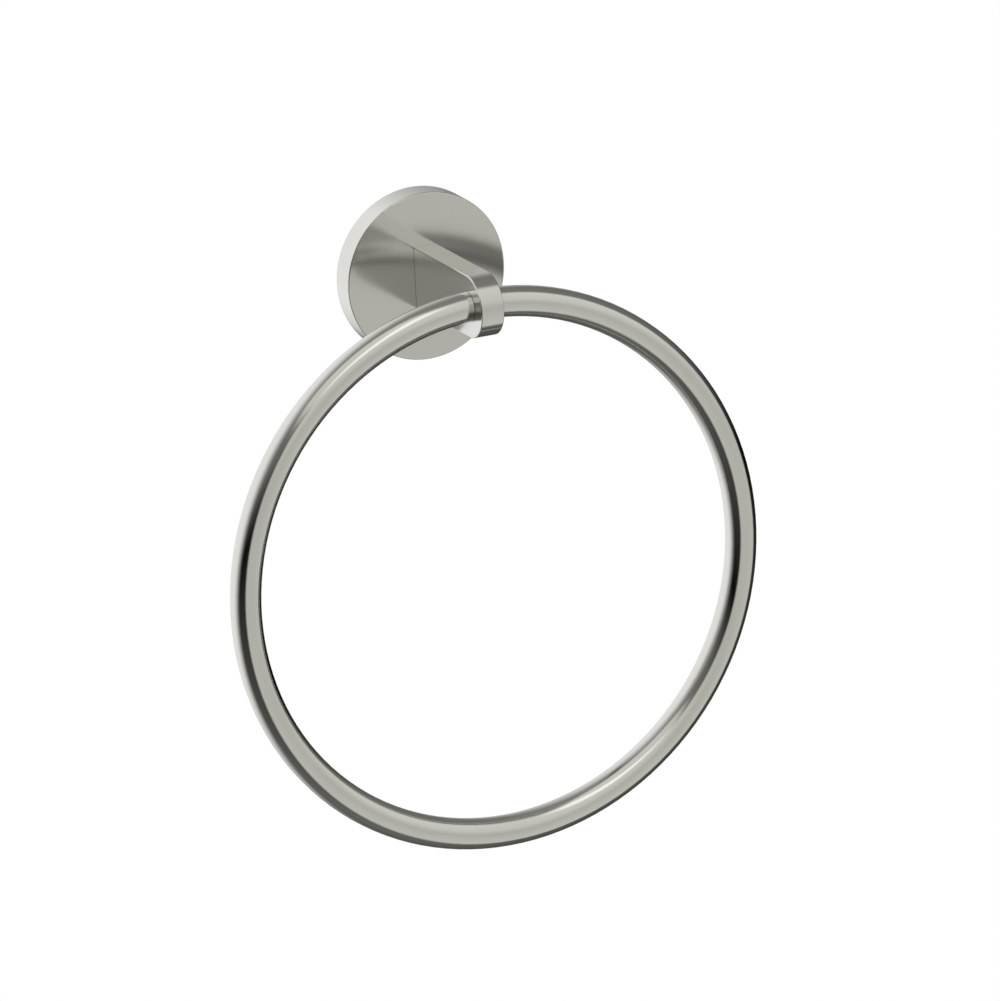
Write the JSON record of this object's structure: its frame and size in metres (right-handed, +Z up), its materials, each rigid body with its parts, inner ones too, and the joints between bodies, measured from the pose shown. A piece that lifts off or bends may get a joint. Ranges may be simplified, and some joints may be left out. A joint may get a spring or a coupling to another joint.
{
  "type": "towel ring",
  "caption": "Wall-mounted towel ring: a round rosette, a flat arm with a half-round nose, and a round tube ring that swings on a pin through the nose.",
  "frame": {"origin": "centre of the rosette's back, in the plane of the wall", "axes": "+Z up, +Y into the wall, +X to the right when the object is seen from the front"},
  "size_m": [0.1844, 0.0584, 0.2069],
  "materials": {
    "satin_nickel": "fine brushed nickel",
    "zinc_plated_steel": "bright zinc plate",
    "stainless_screw": "turned stainless steel"
  },
  "bodies": {
    "bracket": {"wall_plate": "zinc_plated_steel", "rosette": "satin_nickel", "rosette_set_screw": "stainless_screw", "arm": "satin_nickel", "arm_screw_upper": "stainless_screw", "arm_screw_lower": "stainless_screw", "pivot_pin": "stainless_screw"},
    "ring": {"ring_tube": "satin_nickel", "ring_end_plug_left": "satin_nickel", "ring_end_plug_right": "satin_nickel"}
  },
  "joints": [
    {"name": "ring_swing", "type": "hinge", "parent": "bracket", "child": "ring", "pos_m": [0, -0.0482, 0], "axis": [-1, 0, 0], "range_deg": [-14, 194]}
  ]
}
